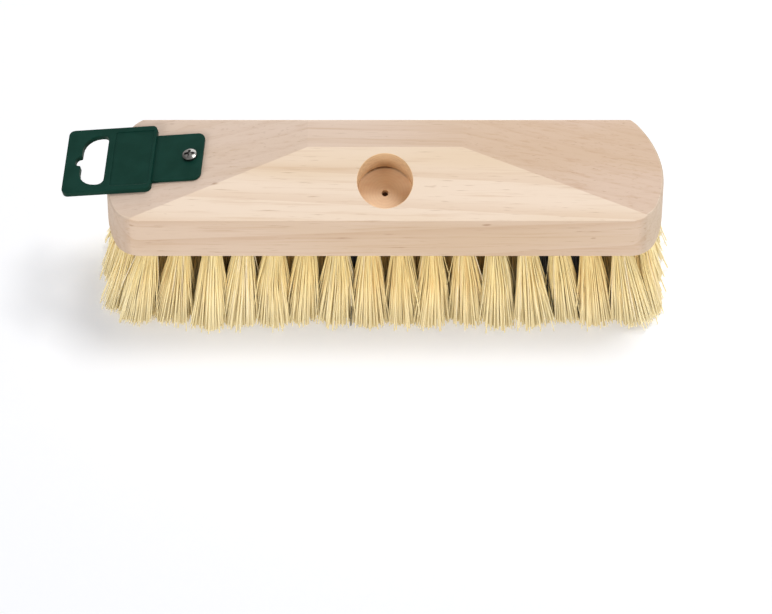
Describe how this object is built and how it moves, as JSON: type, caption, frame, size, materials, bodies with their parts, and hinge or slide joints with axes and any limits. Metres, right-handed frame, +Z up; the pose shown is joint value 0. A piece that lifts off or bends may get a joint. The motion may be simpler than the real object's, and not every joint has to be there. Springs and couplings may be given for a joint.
{
  "type": "scrub brush",
  "caption": "Wooden deck scrub brush: arched block with an angled handle socket, staggered fibre tufts stapled into its underside, and a swivelling plastic hang tag.",
  "frame": {"origin": "on the floor under the middle of the block, at the tip of the centre tuft", "axes": "+X along the block to the end without the tag, -Y to the side of the handle socket, +Z up"},
  "size_m": [0.3081, 0.0676, 0.1],
  "materials": {
    "wood": "planed and bare",
    "light_fibre": "pale straw plant fibre",
    "dark_fibre": "dyed black plant fibre",
    "tag_plastic": "satin moulded plastic",
    "screw_steel": "bright plated",
    "staple_wire": "drawn wire"
  },
  "bodies": {
    "brush": {"block": "wood", "tag_screw": "screw_steel", "tuft_row_1": "light_fibre", "tuft_row_2": "light_fibre", "tuft_row_3": "light_fibre", "tuft_row_4": "light_fibre", "tuft_row_5": "light_fibre", "tuft_row_6": "light_fibre", "tuft_row_7": "light_fibre", "anchor_ring_tufts": "dark_fibre", "anchor_shank_tufts": "dark_fibre", "anchor_stock_tufts": "dark_fibre", "anchor_crown_tufts": "dark_fibre", "anchor_front_fluke_tufts": "dark_fibre", "anchor_back_fluke_tufts": "dark_fibre", "staple_row_1": "staple_wire", "staple_row_2": "staple_wire", "staple_row_3": "staple_wire", "staple_row_4": "staple_wire", "staple_row_5": "staple_wire", "staple_row_6": "staple_wire", "staple_row_7": "staple_wire"},
    "tag": {"hang_tag": "tag_plastic"}
  },
  "joints": [
    {"name": "tag_swivel", "type": "hinge", "parent": "brush", "child": "tag", "pos_m": [-0.0975, 0.002, 0.08863], "axis": [-0.1901, 0, 0.9818], "continuous": true}
  ]
}
